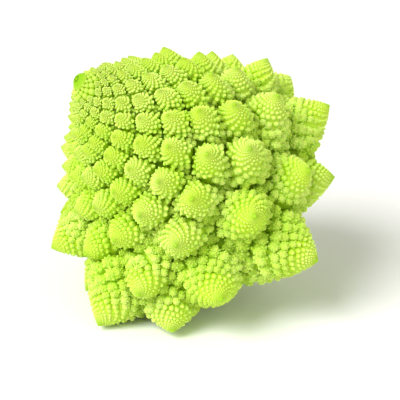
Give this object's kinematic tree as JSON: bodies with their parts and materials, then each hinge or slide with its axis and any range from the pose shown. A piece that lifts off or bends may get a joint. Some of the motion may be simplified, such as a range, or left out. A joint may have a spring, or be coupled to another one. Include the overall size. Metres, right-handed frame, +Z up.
{
  "type": "romanesco head",
  "caption": "Head of romanesco: a dense cone of lime-green florets in spirals, each a small copy of the whole, on a short cut stem, lying on its lower florets and the stem's end",
  "frame": {"origin": "middle of the footprint, on the surface that the head lies on", "axes": "+Z is up from that surface, -Y faces the viewer of the picture, and the head's tip leans to -X"},
  "size_m": [0.1458, 0.1468, 0.1306],
  "materials": {
    "curd": "waxy lime-green curd, matte, slightly translucent",
    "stem": "pale green-white stem, moist where cut"
  },
  "bodies": {
    "root": {"head": "curd", "stem": "stem"}
  },
  "joints": []
}
